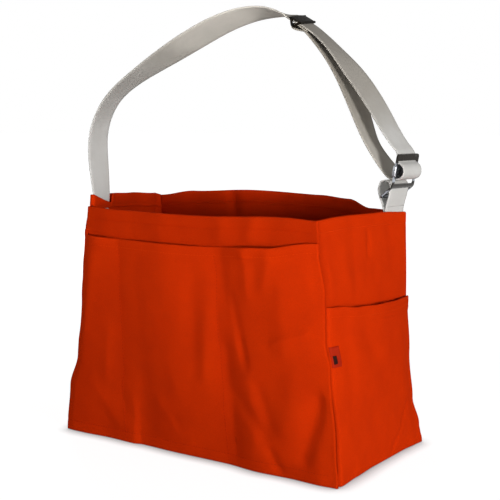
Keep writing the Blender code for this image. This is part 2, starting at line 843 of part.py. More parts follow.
def box(name, across, up, out):
    """A box set square to the buckle's rails at the grip bar; each argument is (low, high)."""
    shape = bmesh.new()
    bmesh.ops.create_cube(shape, size=1)
    size = Vector((across[1] - across[0], up[1] - up[0], out[1] - out[0]))
    middle = Vector((across[1] + across[0], up[1] + up[0], out[1] + out[0])) / 2
    for vert in shape.verts:
        spot = Vector((vert.co.x * size.x, vert.co.y * size.y, vert.co.z * size.z)) + middle
        flat = grip_spot + rail_up * spot.y + rail_out * spot.z
        vert.co = buckle_spot(flat.x, flat.y) + right_across * spot.x
    shape.normal_update()
    bmesh.ops.recalc_face_normals(shape, faces=shape.faces)
    mesh = bpy.data.meshes.new(name)
    shape.to_mesh(mesh)
    shape.free()
    made = bpy.data.objects.new(name, mesh)
    cutters.objects.link(made)
    mark_cutter(made)
    return made


def build_grip_bar():
    """Broad bar whose ends are curled round the frame's side rails."""
    rail_inner = frame_width / 2 - rail_width
    rail_outer = frame_width / 2
    half_plate = grip_plate_height / 2
    half_metal = grip_plate_metal / 2
    reach = rail_inner - seam_gap
    bar = box("grip", (-reach, reach), (-half_plate, half_plate), (-half_metal, half_metal))
    edge = bar.modifiers.new("edge", "BEVEL")
    edge.width = grip_plate_metal * 0.35
    edge.segments = 2
    room = frame_metal / 2 + seam_gap
    for side in (-1, 1):
        span = sorted((side * (reach - curl_metal), side * (rail_outer + seam_gap + curl_metal)))
        curl = box("curl", span, (-curl_height / 2, curl_height / 2), (-room - curl_metal, room + curl_metal))
        rounding = curl.modifiers.new("edge", "BEVEL")
        rounding.width = curl_metal * 0.8
        rounding.segments = 2
        hole = sorted((side * (rail_inner - seam_gap), side * (rail_outer + seam_gap)))
        slot = box("slot", hole, (-curl_height, curl_height), (-room, room))
        boolean(curl, slot, "DIFFERENCE")
        join(bar, curl)
    finish_solid(bar, "grip_bar", bright_metal_colour, 0.3, 1.0)
    for made in list(cutters.objects):
        mark_cutter(made)


def build_chape():
    """Short webbing at the right: two tails sewn in, and a free loop round the low bar."""
    layer = (web_thickness + seam_gap) / 2
    height = loop_height - web_thickness / 2
    stations = [(layer, 0)]
    stations += [(out * loop_half_width, up * height) for out, up in loop_shares]
    stations += [(-layer, 0)]
    loop = [(buckle_spot(out, up), right_across.copy()) for out, up in stations]
    webbing("chape_loop", trim_path(smooth_path(loop, 3), seam_gap * 1.5, seam_gap * 1.5))
    tails = []
    rim = rim_height("right", right_root_along)
    low_end = rim - sewn_length
    for side in (1, -1):
        heights = spread(low_end, rim - seam_gap / 2, 4)
        rows = []
        for level in heights:
            inward = right_stand_in - side * layer
            centre = wall_point("right", right_root_along, level / rim, inward)
            rows.append((centre, wall_across("right", right_root_along, level / rim)))
        tails.append(rows)
    webbing("chape_outer_tail", tails[0])
    webbing("chape_inner_tail", tails[1])


build_walls()
build_bottom()
build_hems()
build_front_pocket()
build_end_pocket()
build_label_tab()
build_strap()
build_tail_fold()
build_slide()
build_buckle_frame()
build_grip_bar()
build_chape()
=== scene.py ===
from functools import partial
from itertools import accumulate
from math import cos, degrees, exp, hypot, pi, prod, radians, sin

import bpy
from mathutils import Matrix, Vector, noise


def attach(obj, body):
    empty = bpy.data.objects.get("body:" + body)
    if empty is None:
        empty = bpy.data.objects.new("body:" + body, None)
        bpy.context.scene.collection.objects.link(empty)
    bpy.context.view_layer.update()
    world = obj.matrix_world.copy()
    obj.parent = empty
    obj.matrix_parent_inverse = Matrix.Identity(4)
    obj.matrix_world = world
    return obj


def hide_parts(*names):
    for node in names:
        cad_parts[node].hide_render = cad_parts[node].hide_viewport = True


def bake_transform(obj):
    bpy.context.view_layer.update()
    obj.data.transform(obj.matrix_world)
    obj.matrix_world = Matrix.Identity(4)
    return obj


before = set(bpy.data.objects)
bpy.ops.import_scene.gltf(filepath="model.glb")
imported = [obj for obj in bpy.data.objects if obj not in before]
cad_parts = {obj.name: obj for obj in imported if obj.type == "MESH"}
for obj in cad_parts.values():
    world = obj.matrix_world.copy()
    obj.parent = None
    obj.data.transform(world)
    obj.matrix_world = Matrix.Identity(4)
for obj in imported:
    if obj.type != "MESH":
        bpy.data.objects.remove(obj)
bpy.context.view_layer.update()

MM = 0.001


# ---- bag shape, as in the CAD
bag_length = 0.432
bag_depth = 0.231
bag_height = 0.3145
wall_cloth = 0.0015
hem_depth = 0.019
seam_lip = 0.003

corner_insets = {
    "front_left": (0.036, 0.006),
    "front_right": (-0.033, 0.006),
    "back_right": (-0.023, -0.0165),
    "back_left": (0.004, -0.0365),
}
lean_tables = {
    "front_right": ((0, 0), (0.15, 0.1), (0.45, 0.34), (0.55, 0.55), (0.73, 0.6), (0.87, 0.87), (1, 1)),
    "front_left": ((0, 0), (0.2, 0.12), (0.34, 0.42), (0.6, 0.6), (0.87, 0.85), (1, 1)),
    "back_right": ((0, 0), (0.08, 0.22), (0.2, 0.55), (0.4, 0.78), (0.65, 0.9), (1, 1)),
    "back_left": ((0, 0), (0.3, 0.3), (0.7, 0.75), (1, 1)),
}
rims = {
    "front": ((0, 1.003), (0.15, 0.996), (0.5, 0.993), (0.88, 1.007), (1, 1)),
    "right": ((0, 1), (0.24, 1.006), (0.7, 1.002), (1, 0.993)),
    "back": ((0, 1.018), (0.15, 1.043), (0.4, 1.057), (0.68, 1.047), (0.79, 1.036), (0.87, 1.0), (1, 0.991)),
    "left": ((0, 1.054), (0.28, 1.05), (0.55, 1.043), (0.9, 1.03), (1, 1.018)),
}
# first corner, second corner, side that faces out, swell, rim bow
walls = {
    "front": ("front_left", "front_right", 1, 0.006, 0.003),
    "right": ("front_right", "back_right", 1, 0.004, -0.002),
    "back": ("back_left", "back_right", -1, 0.01, 0.002),
    "left": ("front_left", "back_left", -1, 0.01, 0.004),
}
# how far the foot of each wall stands out from the straight line, in mm, by share along
foot_wobble = {
    "front": (
        (0, 3.0), (0.07, 2.8), (0.18, 0.0), (0.28, 1.5), (0.31, -2.0), (0.44, -0.5), (0.63, -1.5), (0.75, 3.5),
        (0.86, 0.5), (0.95, 2.0), (1, 0),
    ),
    "right": ((0, 0.5), (0.05, 1.5), (0.2, -1.0), (0.42, -3.5), (0.78, -3.6), (0.92, -1.5), (1, 0)),
    "back": ((0, 0), (0.2, 2), (0.5, -1.5), (0.8, 1.5), (1, 0)),
    "left": ((0, 0), (0.3, -2), (0.7, 1.5), (1, 0)),
}
# creases: x or y and z of both ends, half width, depth (below zero: a valley), all in mm
creases = {
    "front": (
        (-55, 330, -52, 285, 18, 2.1), (43, 336, 46, 288, 13, 1.8), (93, 336, 90, 290, 13, 2.2),
        (140, 320, 142, 285, 14, 1.0), (-150, 315, -152, 285, 14, 1.0), (-108, 312, -103, 285, 10, -0.9),
        (193, 100, 174, 30, 12, -4.4),
    ),
    "right": (
        (4, 290, 2, 266, 5, -1.6), (-60, 300, -52, 250, 14, 1.0), (55, 296, 62, 240, 14, -1.0),
        (30, 240, 70, 222, 10, 1.0), (-30, 300, -36, 236, 12, -1.0),
    ),
    "back": (
        (-84, 345, -80, 250, 9, 2.8), (4, 345, 0, 240, 44, 3.5), (-150, 325, -148, 250, 16, 1.4),
        (34, 345, 36, 260, 9, 1.0),
    ),
    "left": ((-60, 325, -50, 250, 14, -1.5), (20, 325, 30, 250, 16, 1.5), (66, 340, 66, 280, 5, 3.0)),
    "pocket": (
        (70, 215, 90, 140, 6, -1.5), (84, 160, 93, 131, 5, -1.3), (88, 268, 94, 222, 9, 2.0),
        (124, 268, 118, 232, 10, 1.8), (193, 100, 174, 30, 12, -4.4), (60, 150, 74, 20, 9, -2.2),
        (96, 120, 104, 40, 16, 2.2), (126, 30, 141, 4, 7, -2.0), (-166, 262, -188, 150, 11, 1.4),
        (-172, 74, -128, 30, 11, 1.1), (-118, 64, -96, 26, 9, -0.8), (-76, 100, -74, 28, 16, -1.4),
        (-48, 62, -4, 18, 10, 1.0), (-22, 46, -8, 22, 7, -0.9), (76, 92, 118, 50, 9, -1.8),
        (110, 108, 128, 60, 9, -1.6), (133, 166, 177, 181, 5, 1.7), (140, 235, 148, 160, 14, 1.9),
        (184, 268, 192, 230, 8, -1.8), (50, 268, 58, 208, 9, -1.8), (-40, 262, -20, 200, 22, 1.0),
        (-90, 240, -82, 130, 16, -1.0), (8, 232, 14, 120, 14, -1.5), (30, 190, 26, 110, 12, 1.8),
        (-140, 150, -146, 90, 10, 1.2), (-30, 130, -20, 90, 12, 1.0), (160, 120, 150, 60, 14, 2.0),
    ),
    "end_pocket": (
        (-31, 166, 22, 98, 16, -2.2), (81, 60, 27, 3, 3.2, -1.8), (60, 150, 70, 70, 16, 1.6),
        (-80, 190, -70, 90, 12, -1.2), (-90, 60, -60, 10, 12, 1.4), (96, 120, 100, 60, 8, -1.6),
        (40, 40, 80, 12, 12, 1.2), (-20, 60, 0, 14, 14, -1.0),
    ),
}


def read_table(table, place):
    """Value of a table of (place, value) rows, eased between the rows."""
    for (left, low), (right, high) in zip(table, table[1:]):
        if place <= right:
            share = max(0.0, (place - left) / (right - left))
            return low + (high - low) * share * share * (3 - 2 * share)
    return table[-1][1]


def clamp(value):
    """The value, held between 0 and 1."""
    return min(1, max(0, value))


def ease(low, high, value):
    """0 below low, 1 above high, eased between."""
    share = clamp((value - low) / (high - low))
    return share * share * (3 - 2 * share)


def hump(value, middle, reach):
    """A bell of height 1 at middle; reach is its half width."""
    return exp(-((value - middle) / reach) ** 2)


def corner(name, share):
    """Plan position of a bag corner at a share of the height."""
    inset_x, inset_y = corner_insets[name]
    sign_x, sign_y = 1 if "right" in name else -1, -1 if "front" in name else 1
    lean = read_table(lean_tables[name], share)
    return Vector((sign_x * bag_length / 2 + inset_x * lean, sign_y * bag_depth / 2 + inset_y * lean))


# how far a corner's cloth has settled in x from its drafted place, in mm, by share of height
settled = {
    "front_left": ((0, -4.2), (0.22, -4.4), (0.4, -1.4), (0.48, 0), (0.75, 0), (1, 0)),
    "back_right": (
        (0, -3.0), (0.06, -1.0), (0.2, -1.3), (0.26, -1.5), (0.42, -0.2), (0.66, -1.2), (0.85, -0.6), (1, -0.3)),
}
lines = {}


def wall_line(wall, share, drafted=True):
    """Start, direction, length and outward direction of a wall's line at a share of the height."""
    key = (wall, round(share, 5), drafted)
    if key not in lines:
        first, second, facing = walls[wall][:3]
        start, end = corner(first, share), corner(second, share)
        if not drafted:
            for name, spot in ((first, start), (second, end)):
                spot.x += read_table(settled.get(name, ((1, 0),)), share) * MM
        run = end - start
        direction = run.normalized()
        lines[key] = (start, direction, run.length, Vector((direction.y, -direction.x)) * facing)
    return lines[key]


def rim_height(wall, along):
    """Height of a wall's rim above the floor."""
    return bag_height * read_table(rims[wall], along)


# fine ripple of the cloth: height in mm, size in mm in x and z, and where each cloth reads the noise
ripples = ((0.9, 55, 70, 3.1), (0.28, 14, 17, 1.7))


def crease(kind, x, z):
    """How far creases and ripples push a cloth out; x and z in mm."""
    total = 0.0
    for x0, z0, x1, z1, width, depth in creases[kind]:
        dx, dz = x1 - x0, z1 - z0
        share = clamp(((x - x0) * dx + (z - z0) * dz) / (dx * dx + dz * dz))
        away = hypot(x - x0 - dx * share, z - z0 - dz * share) / width
        if away < 3:
            total += depth * exp(-away * away)
    for height, size_x, size_z, layer in ripples:
        total += height * noise.noise(Vector((x / size_x, z / size_z, layer * len(kind))))
    return total * MM


def seam_parting(height):
    """How far the front right corner's seam has parted, from 0 to 1."""
    return ease(8, 24, height / MM) * (1 - ease(84, 118, height / MM))


# dips of the right end's cloth behind the front seam, in mm: depth and reach of the one over the whole height,
# of the one at the open foot, and of the sunk stretch round sunk_height
seam_dips = ((2.6, 2.2), (4.4, 3.0), (4.0, 7))
sunk_height, sunk_reach = 252, 28


def wall_place(wall, along, height, out, kind=None):
    """Point near a wall, by share of its length, height above the floor and distance out of its outer face."""
    share = height / rim_height(wall, along)
    start, ahead, length, outward = wall_line(wall, share, False)
    swell, rim_bow = walls[wall][3:]
    if wall == "right":
        near = along * length / MM
        amounts = 1, 1 - ease(50, 95, height / MM), hump(height / MM, sunk_height, sunk_reach)
        out -= sum(depth * amount * hump(near, reach, reach) for amount, (depth, reach) in zip(amounts, seam_dips)) * MM
    if wall == "back":
        rim_bow += 0.003 * ease(0.7, 0.95, share)
    if wall == "front" and kind is None:
        out -= 3.0 * MM * seam_parting(height) * ease(0.978, 0.992, along)
    bow = sin(pi * clamp(along)) * (swell * sin(pi * share) + rim_bow * share)
    spot = start + ahead * length * along
    level = spot.x if wall in ("front", "back") else spot.y
    held = ease(0, 0.04, along) * ease(0, 0.04, 1 - along) * ease(0, 0.03, share)
    ripple = crease(kind or wall, level * 1000, height * 1000) * held
    foot = read_table(foot_wobble[wall], along) * MM * (1 - ease(0, 0.3, share))
    spot += outward * (bow + out + ripple + foot)
    return Vector((spot.x, spot.y, height))


def spread(start, end, count):
    """Evenly spaced numbers from start to end."""
    return [start + (end - start) * step / count for step in range(count + 1)]


# ---- materials


def new_material(name):
    """A material, its shader and the position that its textures go by."""
    material = bpy.data.materials.new(name)
    material.use_nodes = True
    tree = material.node_tree
    return material, tree.nodes["Principled BSDF"], tree.nodes.new("ShaderNodeTexCoord").outputs["Object"]


def feed_socket(socket, value):
    """Link an output to a socket, or set the socket to a value."""
    if isinstance(value, bpy.types.NodeSocket):
        socket.id_data.links.new(value, socket)
    else:
        socket.default_value = (*value, 1) if socket.type == "RGBA" else value


def feed(target, **values):
    """Link or set a node's sockets by name, with _ for a space."""
    for key, value in values.items():
        feed_socket(target.inputs[key.replace("_", " ")], value)


def node(tree, kind, **values):
    """Add a node; capitalised values are for its sockets."""
    made = tree.nodes.new("ShaderNode" + kind)
    for key, value in values.items():
        if key[0].isupper():
            feed(made, **{key: value})
        else:
            setattr(made, key, value)
    return made


def by_index(made, values):
    """Feed a node's sockets, given as {index: value}."""
    for index, value in values.items():
        feed_socket(made.inputs[index], value)
    return made.outputs


def mix(factor, first, second, blend="MIX"):
    """Mix two colours; the factor is a socket, or 1.0 with a socket for the first colour."""
    made = node((first if factor == 1.0 else factor).id_data, "Mix", data_type="RGBA", blend_type=blend)
    return by_index(made, {0: factor, 6: first, 7: second})[2]


def ramp(source, low, high, start=0.0, end=1.0):
    """Map a value from one range to another, clamped."""
    made = node(source.id_data, "MapRange", Value=source, From_Min=low, From_Max=high, To_Min=start, To_Max=end)
    return made.outputs["Result"]


def maths(operation, *values):
    """A maths node on a socket, and on a second one or a number."""
    return by_index(node(values[0].id_data, "Math", operation=operation), dict(enumerate(values)))[0]


plus, minus, times = (partial(maths, operation) for operation in ("ADD", "SUBTRACT", "MULTIPLY"))
sine, larger = partial(maths, "SINE"), partial(maths, "MAXIMUM")


def axes_of(place):
    """The X, Y and Z of a position."""
    return node(place.id_data, "SeparateXYZ", Vector=place).outputs[:3]


def noise_at(vector, scale, detail=3.0, roughness=0.55):
    """A noise texture's value."""
    made = node(vector.id_data, "TexNoise", Vector=vector, Scale=scale, Detail=detail, Roughness=roughness)
    return made.outputs["Fac"]


def bump(height, strength, distance):
    """Normal from a height value."""
    made = node(height.id_data, "Bump", Strength=strength, Distance=distance, Height=height)
    return made.outputs["Normal"]


# thread spacings of canvas and webbing, as full waves of warp and weft
warp_pitch, weft_pitch = 0.95 * MM, 1.05 * MM
rib_pitch, pick_pitch = 1.1 * MM, 1.3 * MM


def canvas_look(name, colour, dark):
    """Duck canvas: crossed threads, small slubs and soft mottling."""
    material, shader, place = new_material(name)
    x, y, z = axes_of(place)
    warp = sine(times(plus(x, y), 2 * pi / warp_pitch))
    weft = sine(times(z, 2 * pi / weft_pitch))
    slub = noise_at(place, 900, 2.0)
    mottle = noise_at(place, 26, 4.0)
    patch = noise_at(place, 7)
    tone = plus(times(mottle, 0.55), times(patch, 0.45))
    base = mix(ramp(tone, 0.36, 0.64), dark, colour)
    shade = mix(1.0, base, ramp(slub, 0.3, 0.75, 0.9, 1.06), "MULTIPLY")
    height = plus(times(times(warp, weft), 0.35), times(slub, 0.9))
    rough = ramp(mottle, 0.3, 0.7, 0.82, 0.95)
    normal = bump(height, 0.35, 0.25 * MM)
    feed(shader, Base_Color=shade, Roughness=rough, Normal=normal, Specular_IOR_Level=0.02)
    return material


def webbing_look(name, fresh, soiled, top_grime_and_shade, slide_shade_colour):
    """Woven webbing: fine ribs and twill and random soiling. It is darker towards the top with handling grime and
    painted shade, has a painted highlight on the crown and painted shade beside the slide.
    """
    material, shader, solid = new_material(name)
    side, run, _ = axes_of(node(solid.id_data, "TexCoord").outputs["UV"])
    across = times(side, 2 * pi / rib_pitch)
    twill = sine(plus(across, times(run, 2 * pi / pick_pitch)))
    slub = noise_at(solid, 1100, 2.0)
    grime = noise_at(solid, 22, 4.0)
    clean = mix(ramp(grime, 0.35, 0.68), fresh, soiled)
    x, _, z = axes_of(solid)
    height = plus(z, times(minus(grime, 0.5), 0.05))
    # darker towards the top: handling grime and painted shade
    grime_and_shade = mix(ramp(height, 0.395, 0.52), clean, top_grime_and_shade)
    # a painted highlight on the crown of the arch
    crown_highlight = tuple(1.65 * value for value in top_grime_and_shade)
    grime_and_shade = mix(ramp(height, 0.525, 0.57), grime_and_shade, crown_highlight)
    # painted shade on the stretch beside the slide
    slide_shade_mask = times(ramp(x, 0.045, 0.095), ramp(height, 0.415, 0.475))
    base = mix(slide_shade_mask, grime_and_shade, slide_shade_colour)
    weave = plus(times(twill, 0.5), times(sine(across), 0.3))
    shade = mix(1.0, base, ramp(plus(weave, slub), -0.6, 1.6, 0.93, 1.03), "MULTIPLY")
    normal = bump(plus(weave, times(slub, 0.8)), 0.15, 0.05 * MM)
    feed(shader, Base_Color=shade, Roughness=0.85, Normal=normal, Specular_IOR_Level=0.12)
    return material


def metal_look(name, colour, dark, roughness, metallic, scale=260):
    """Plated or japanned metal: fine scratches, tarnish in patches and worn spots."""
    material, shader, place = new_material(name)
    tarnish = noise_at(place, scale, 5.0, 0.6)
    stretched = node(place.id_data, "Mapping", Vector=place, Scale=(1, 1, 0.12)).outputs[0]
    streak = noise_at(stretched, 1800, 2.0)
    base = mix(ramp(tarnish, 0.42, 0.66), colour, dark)
    worn_rough = ramp(tarnish, 0.35, 0.7, roughness, roughness + 0.22)
    rough = plus(worn_rough, ramp(streak, 0.3, 0.7, -0.05, 0.05))
    normal = bump(plus(tarnish, times(streak, 0.4)), 0.12, 0.1 * MM)
    feed(shader, Base_Color=base, Roughness=rough, Normal=normal, Metallic=metallic)
    return material


canvas = canvas_look("canvas_cloth", (0.575, 0.028, 0.0006), (0.515, 0.0238, 0.0005))
# the canvas's inner faces, painted a little darker as the shade inside the bag
inside_shade_cloth = canvas_look("canvas_inside_painted_shade", (0.54, 0.024, 0.0005), (0.45, 0.0195, 0.0004))
webbing_cloth = webbing_look(
    "webbing_weave", (0.56, 0.549, 0.528), (0.51, 0.496, 0.472), (0.34, 0.318, 0.284), (0.33, 0.305, 0.27))
# the return run: the same webbing, painted darker as shade
shaded_webbing = webbing_look(
    "webbing_painted_shade", (0.42, 0.392, 0.35), (0.35, 0.322, 0.28), (0.27, 0.245, 0.205), (0.25, 0.225, 0.19))
# the front wall's canvas, painted darker than the rest as shade on the front
front_shaded_canvas = canvas_look("canvas_rim", (0.5, 0.024, 0.0005), (0.44, 0.02, 0.0004))
label_cloth = canvas_look("label_cloth", (0.4, 0.02, 0.005), (0.3, 0.014, 0.004))
block_cloth = canvas_look("block_cloth", (0.03, 0.01, 0.008), (0.018, 0.007, 0.006))
thread_light = canvas_look("thread_light", (0.66, 0.044, 0.003), (0.58, 0.034, 0.002))
# dark thread: painted shade standing in for the shadows of the stitch holes
thread_painted_shade = canvas_look("thread_painted_shade", (0.46, 0.02, 0.001), (0.38, 0.015, 0.001))
# near-black thread: painted shadow of the parted corner seam
seam_shadow_thread = canvas_look("thread_seam_painted_shadow", (0.1, 0.008, 0.003), (0.06, 0.005, 0.002))
thread_inside = canvas_look("thread_inside", (0.6, 0.036, 0.002), (0.5, 0.028, 0.001))
black_metal = metal_look("black_metal", (0.004, 0.0032, 0.0024), (0.012, 0.008, 0.005), 0.42, 0.0)
feed(black_metal.node_tree.nodes["Principled BSDF"], Specular_IOR_Level=0.04)
zinc_metal = metal_look("zinc_metal", (0.5, 0.52, 0.56), (0.22, 0.22, 0.23), 0.16, 1.0, 90)
# the buckle's plating, with painted dark reflections on its top bar and bend bar, placed by height above the floor
plated_metal, shader, place = new_material("plated_metal")
blotch = noise_at(place, 70, 4.0)
level = plus(axes_of(place)[2], times(minus(blotch, 0.5), 4 * MM))
top_bar_reflection = mix(ramp(level, 0.3745, 0.3785), (0.46, 0.49, 0.54), (0.02, 0.015, 0.011))
# painted dark reflection on the bend bar
bend = times(ramp(level, 0.3415, 0.343), ramp(level, 0.352, 0.354, 1.0, 0.0))
both = mix(bend, top_bar_reflection, (0.05, 0.046, 0.042))
# random worn spots over the painted reflections
worn_over_reflection = mix(ramp(blotch, 0.66, 0.76, 0.0, 0.22), both, (0.36, 0.36, 0.37))
normal = bump(noise_at(place, 420, 4.0), 0.1, 0.1 * MM)
feed(shader, Base_Color=worn_over_reflection, Roughness=ramp(blotch, 0.3, 0.7, 0.16, 0.34), Normal=normal, Metallic=1.0)


# ---- mesh helpers


def show(name, data):
    """Add an object to the scene."""
    made = bpy.data.objects.new(name, data)
    bpy.context.scene.collection.objects.link(made)
    return made


def put(name, points, faces, material, body, replaces=(), uvs=None, shaded_inside=None):
    """Add a smooth mesh piece that rides on a body, if given; lining is a second material, the canvas painted darker as
    the shade inside the bag, and its faces.
    """
    mesh = bpy.data.meshes.new(name)
    mesh.from_pydata([tuple(point) for point in points], [], faces)
    mesh.shade_smooth()
    if uvs:
        layer = mesh.uv_layers.new(name="UVMap")
        for loop in mesh.loops:
            layer.data[loop.index].uv = uvs[loop.vertex_index]
    mesh.materials.append(material)
    if shaded_inside:
        mesh.materials.append(shaded_inside[0])
        for index in shaded_inside[1]:
            mesh.polygons[index].material_index = 1
    mesh.update()
    made = show(name, mesh)
    if body:
        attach(made, body)
    if replaces:
        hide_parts(*replaces)
    return made


def chord(points, index):
    """From the point before an index to the one after it."""
    return points[min(index + 1, len(points) - 1)] - points[max(index - 1, 0)]


def grid_normals(rows, side):
    """Unit normals of a grid of points, on the side of the reference point."""
    out = []
    for r, row in enumerate(rows):
        below, above = rows[max(r - 1, 0)], rows[min(r + 1, len(rows) - 1)]
        out.append([chord(row, c).cross(above[c] - below[c]).normalized() for c in range(len(row))])
    r, c = len(rows) // 3, len(rows[0]) // 2
    if out[r][c].dot(side - rows[r][c]) < 0:
        out = [[-n for n in line] for line in out]
    return out


edge_bulge = 0.45  # how far a cloth's cut edge is rounded out, in thicknesses


def sheet(name, rows, thickness, side, material, replaces=(), lined_from=None):
    """A closed cloth of the bag with round edges: rows are its outer face, which looks towards side; lined_from
    is the row from which that face lies inside the bag."""
    normals = grid_normals(rows, side)
    count_r, count_c = len(rows), len(rows[0])
    points = [p for row in rows for p in row]
    points += [p - n * thickness for row, line in zip(rows, normals) for p, n in zip(row, line)]
    inner = count_r * count_c
    faces, lined = [], []
    turned = (rows[0][1] - rows[0][0]).cross(rows[1][0] - rows[0][0]).dot(normals[0][0]) < 0
    way = -1 if turned else 1
    for r in range(count_r - 1):
        for c in range(count_c - 1):
            a = r * count_c + c
            quad = (a, a + 1, a + 1 + count_c, a + count_c)[::way]
            if lined_from is not None:
                lined.append(len(faces) + (r < lined_from))
            faces += [quad, tuple(i + inner for i in quad[::-1])]
    ring = [(0, c) for c in range(count_c)] + [(r, count_c - 1) for r in range(1, count_r)]
    ring += [(count_r - 1, c) for c in range(count_c - 2, -1, -1)] + [(r, 0) for r in range(count_r - 2, 0, -1)]
    edge = len(points)
    for r, c in ring:
        reach = rows[r][c] - rows[min(max(r, 1), count_r - 2)][min(max(c, 1), count_c - 2)]
        reach = (reach - normals[r][c] * reach.dot(normals[r][c])).normalized()
        points.append(rows[r][c] - normals[r][c] * thickness / 2 + reach * thickness * edge_bulge)
    for k, (r, c) in enumerate(ring):
        k2 = (k + 1) % len(ring)
        a, b = r * count_c + c, ring[k2][0] * count_c + ring[k2][1]
        faces.append((b, a, edge + k, edge + k2)[::way])
        faces.append((edge + k2, edge + k, a + inner, b + inner)[::way])
    return put(name, points, faces, material, "bag", replaces, None, (inside_shade_cloth, lined) if lined else None)


def run_lengths(stations):
    """Length of a path up to each of its stations."""
    return [0.0, *accumulate((b - a).length for (a, _), (b, _) in zip(stations, stations[1:]))]


def stations_at(stations, run, places):
    """Stations at rising lengths along a path; run is its run_lengths."""
    out, k = [], 0
    for place in places:
        while k < len(run) - 2 and run[k + 1] < place:
            k += 1
        share = (place - run[k]) / max(1e-9, run[k + 1] - run[k])
        out.append(tuple(p.lerp(q, share) for p, q in zip(stations[k], stations[k + 1])))
    return out


def tube_faces(base, rings, ring):
    """Faces of a closed tube made of rings of points, numbered from base."""
    faces = []
    for index in range(rings - 1):
        for turn in range(ring):
            a, b = base + index * ring + turn, base + index * ring + (turn + 1) % ring
            faces.append((a, b, b + ring, a + ring))
    last = base + (rings - 1) * ring
    return faces + [tuple(range(base + ring - 1, base - 1, -1)), tuple(range(last, last + ring))]


stitch_pitch = 4.4 * MM
# one stitch, as rings of thread: share of its length, share of its radius, lift in radii
thread_rings = ((-0.02, 0.35, -0.9), (0.12, 0.85, 0.15), (0.5, 1.0, 0.5), (0.88, 0.85, 0.15), (1.02, 0.35, -0.9))


def stitch(name, spots, material, length=3.3 * MM, radius=0.38 * MM):
    """Thread dashes on the bag along a line of (point, normal) spots."""
    points, faces = [], []
    run = run_lengths(spots)
    starts = [k * stitch_pitch for k in range(max(1, int(run[-1] / stitch_pitch)))]
    ends = [min(run[-1], start + length) for start in starts]
    for (a, n), (b, _) in zip(stations_at(spots, run, starts), stations_at(spots, run, ends)):
        n = n.normalized()
        side = n.cross((b - a).normalized()).normalized()
        base = len(points)
        for share, size, lift in thread_rings:
            centre = a.lerp(b, share) + n * radius * lift
            for turn in range(6):
                angle = pi * turn / 3
                points.append(centre + (side * cos(angle) + n * sin(angle)) * radius * size)
        faces += tube_faces(base, 5, 6)
    return put(name, points, faces, material, "bag")


# ---- canvas walls
bag_middle = Vector((0, 0, bag_height / 2))
foot_height = 0.6 * MM


def end_margin(wall, share, front=False):
    """Share of its length by which an end wall's cloth stops short."""
    parted = 3.0 * MM * seam_parting(share * bag_height) if front and wall == "right" else 0
    return (wall_cloth + 0.5 * MM + parted) / wall_line(wall, share)[2]


def column_shares(wall, share, count):
    """Shares along a wall for the columns of its cloth."""
    if wall in ("front", "back"):
        length = wall_line(wall, share, False)[2]
        right = seam_lip * (0.95 - 0.75 * ease(0.1, 0.5, share)) if wall == "front" else -0.4 * MM
        left = (0.8 + 2.8 * ease(0.66, 0.76, share)) * MM if wall == "front" else 0.8 * MM
        return spread(-left / length, 1 + right / length, count)
    return spread(end_margin(wall, share, True), 1 - end_margin(wall, share), count)


def pucker(height, line, depth=0.45 * MM, width=2.6 * MM):
    """Dip of a cloth along a sewn line at that height."""
    away = (height - line) / width
    return -depth * exp(-away * away)


rim_fold = 1.6 * MM
pocket_edge = ((0, 1), (0.5, 0.99), (0.82, 0.96), (1, 0.68))
pocket_drop = 0.038
hem_line = 15.5 * MM
front_rim, front_rim_left = 372, 185  # mm: length of the front rim, and of its part left of the middle
gape_right, gape_left = 88, -160  # mm from the middle: where the pocket gapes


def edge_drop(along):
    """How far the front pocket's edge lies below the rim."""
    return pocket_drop * read_table(pocket_edge, clamp(along))


def groove(along, height):
    """How far the front wall is pressed in just above the pocket's edge."""
    x = along * front_rim - front_rim_left
    gape = hump(x, gape_right, 20) + 0.9 * hump(x, gape_left, 20)
    edge = rim_height("front", along) - edge_drop(along)
    return 3.4 * MM * gape * hump(height - edge, 0.8 * MM, 2.4 * MM)


def fold_steps(rows, hem_rows):
    """Steps of a folded cloth: up it, over its edge and down the hem."""
    steps = [("up", share) for share in spread(0, 1, rows)]
    steps += [("arc", radians(angle)) for angle in spread(0, 180, 6)[1:]]
    return steps + [("hem", share) for share in spread(0, 1, hem_rows)[1:]]


def folded_wall(wall, columns, rows):
    """Outer face of a wall whose rim is folded in."""
    grid = []
    for step, value in fold_steps(rows, 7):
        row = []
        for along in column_shares(wall, value if step == "up" else 1, columns):
            rim = rim_height(wall, along)
            top = rim - rim_fold
            if step == "up":
                height = foot_height + (top - foot_height) * value
                out = pucker(height, rim - hem_line) - (groove(along, height) if wall == "front" else 0)
            elif step == "arc":
                height = top + rim_fold * sin(value)
                out = rim_fold * (cos(value) - 1)
            else:
                height = top - (hem_depth - rim_fold) * value
                out = -2 * rim_fold - pucker(height, rim - hem_line) + 1.1 * MM * value
            row.append(wall_place(wall, along, height, out))
        grid.append(row)
    return grid


def outside(wall):
    """A point well outside a wall."""
    return bag_middle + wall_line(wall, 0.5)[3].to_3d() * 3


wall_rows = 70
lined_row = wall_rows + 4  # the top of the fold: the cloth looks inward from there
# the front wall takes the canvas painted darker as shade
for wall, cloth in (("front", front_shaded_canvas), ("back", canvas)):
    face = folded_wall(wall, 120, wall_rows)
    nodes = wall + "_panel", wall + "_hem"
    sheet(wall + "_wall", face, wall_cloth - 0.1 * MM, outside(wall), cloth, nodes, lined_row)

web_width = 0.044
web_thick = 0.002
web_gap = 0.0003  # between two layers of webbing
sewn_depth = 0.060
left_along = 0.0265 / wall_line("left", 1)[2]
right_along = 1 - 0.0245 / wall_line("right", 1)[2]
hem_dip = 12 * MM
hem_cloth = 1.5 * MM


